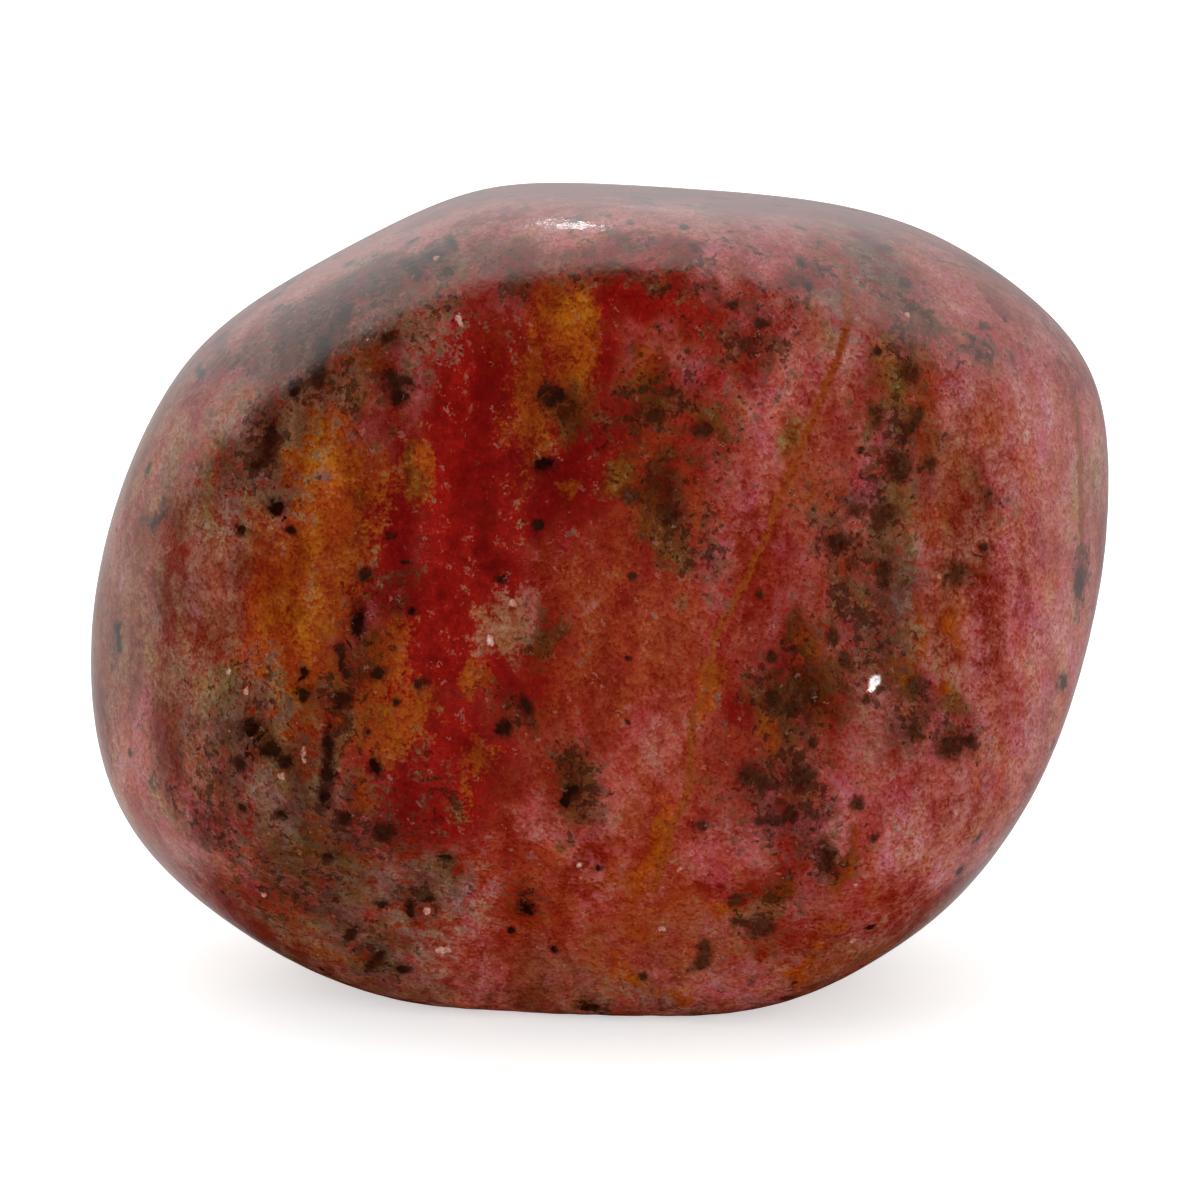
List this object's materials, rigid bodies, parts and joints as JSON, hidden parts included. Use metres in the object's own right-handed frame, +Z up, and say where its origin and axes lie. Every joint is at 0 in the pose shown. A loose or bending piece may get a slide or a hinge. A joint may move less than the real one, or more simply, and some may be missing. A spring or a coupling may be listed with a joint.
{
  "type": "rhodonite freeform",
  "caption": "Tumbled and polished stone of mottled pink, red and amber rhodonite with dark mineral flecks, softly faceted all round and standing on a small flat ground on its underside.",
  "frame": {"origin": "on the surface that the stone rests on, under the middle of its bounding box", "axes": "+X along the stone's width, to the right as seen from its broad front; -Y out of the broad front, along its shortest extent; +Z up"},
  "size_m": [0.0708, 0.0486, 0.0559],
  "materials": {
    "polished_rhodonite": "polished"
  },
  "bodies": {
    "root": {"rhodonite_stone": "polished_rhodonite"}
  },
  "joints": []
}
